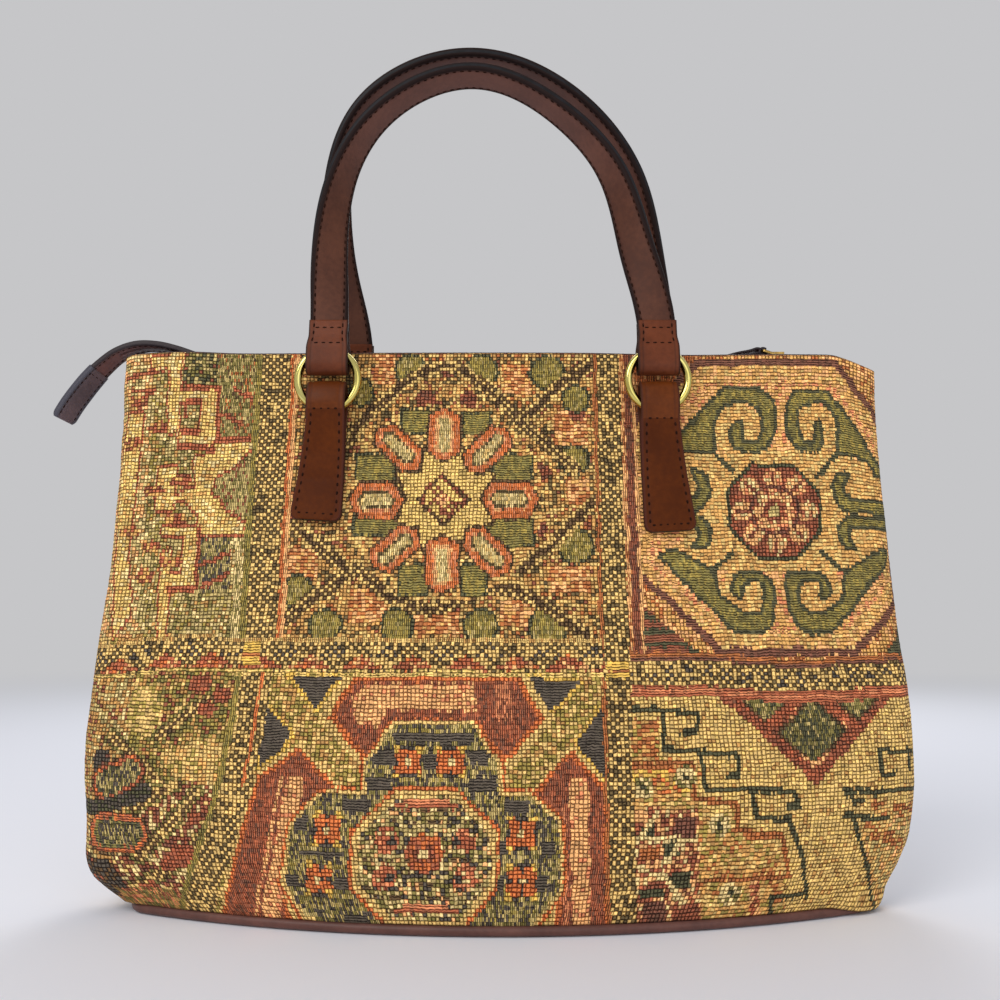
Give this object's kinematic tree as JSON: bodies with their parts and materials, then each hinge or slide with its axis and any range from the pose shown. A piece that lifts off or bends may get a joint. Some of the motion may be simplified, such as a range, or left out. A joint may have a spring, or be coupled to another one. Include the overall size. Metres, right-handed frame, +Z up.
{
  "type": "carpet bag",
  "caption": "Woven tapestry carpet bag with a leather base, piped edge, brass zipper and two leather handles that hinge on swinging rings.",
  "frame": {"origin": "centre of the base's underside, on the floor the bag stands on", "axes": "+X along the bag's length (to the right seen from the front), +Z up, front panel faces -Y"},
  "size_m": [0.4415, 0.0964, 0.4457],
  "materials": {
    "tapestry": "coarse woven tapestry",
    "lining": "plain woven cloth",
    "handle_leather": "smooth waxed leather with black painted edges",
    "tab_leather": "smooth waxed leather",
    "trim_leather": "dark smooth leather",
    "base_leather": "dark smooth leather",
    "zipper_tape": "woven zipper tape",
    "ring_brass": "polished",
    "zipper_brass": "antique, slightly dull",
    "board": "fibre board"
  },
  "bodies": {
    "bag": {"front_panel": "tapestry", "back_panel": "tapestry", "base_panel": "base_leather", "base_piping": "trim_leather", "base_board": "board", "lining": "lining", "front_facing": "trim_leather", "back_facing": "trim_leather", "front_zipper_tape": "zipper_tape", "back_zipper_tape": "zipper_tape", "front_zipper_teeth": "zipper_brass", "back_zipper_teeth": "zipper_brass", "zipper_stop": "zipper_brass", "zipper_tail": "trim_leather", "tail_cap": "trim_leather", "front_left_tab": "tab_leather", "front_right_tab": "tab_leather", "back_left_tab": "tab_leather", "back_right_tab": "tab_leather"},
    "front_left_ring": {"front_left_ring": "ring_brass"},
    "front_right_ring": {"front_right_ring": "ring_brass"},
    "back_left_ring": {"back_left_ring": "ring_brass"},
    "back_right_ring": {"back_right_ring": "ring_brass"},
    "front_handle": {"front_handle": "handle_leather"},
    "back_handle": {"back_handle": "handle_leather"},
    "slider": {"zipper_slider": "zipper_brass"},
    "pull": {"zipper_pull": "zipper_brass", "pull_leather": "handle_leather"}
  },
  "joints": [
    {"name": "front_left_ring_swing", "type": "hinge", "parent": "bag", "child": "front_left_ring", "pos_m": [-0.085, -0.02185, 0.24183], "axis": [1, 0, 0], "range_deg": [0, 150]},
    {"name": "front_right_ring_swing", "type": "hinge", "parent": "bag", "child": "front_right_ring", "pos_m": [0.078, -0.02185, 0.24183], "axis": [1, 0, 0], "range_deg": [0, 150]},
    {"name": "front_handle_swing", "type": "hinge", "parent": "front_left_ring", "child": "front_handle", "pos_m": [-0.085, -0.02185, 0.26723], "axis": [1, 0, 0], "range_deg": [0, 26]},
    {"name": "back_left_ring_swing", "type": "hinge", "parent": "bag", "child": "back_left_ring", "pos_m": [0.085, 0.02185, 0.24183], "axis": [-1, 0, 0], "range_deg": [0, 150]},
    {"name": "back_right_ring_swing", "type": "hinge", "parent": "bag", "child": "back_right_ring", "pos_m": [-0.078, 0.02185, 0.24183], "axis": [-1, 0, 0], "range_deg": [0, 150]},
    {"name": "back_handle_swing", "type": "hinge", "parent": "back_left_ring", "child": "back_handle", "pos_m": [0.085, 0.02185, 0.26723], "axis": [-1, 0, 0], "range_deg": [0, 26]},
    {"name": "zip_slide", "type": "slide", "parent": "bag", "child": "slider", "axis": [-1, 0, 0], "range_m": [0, 0.255]},
    {"name": "pull_swing", "type": "hinge", "parent": "slider", "child": "pull", "pos_m": [0.143, 0, 0.27145], "axis": [0, 1, 0], "range_deg": [0, 140]}
  ],
  "couplings": [
    {"joint": "front_right_ring_swing", "follows": "front_left_ring_swing", "ratio": 1},
    {"joint": "back_right_ring_swing", "follows": "back_left_ring_swing", "ratio": 1}
  ]
}
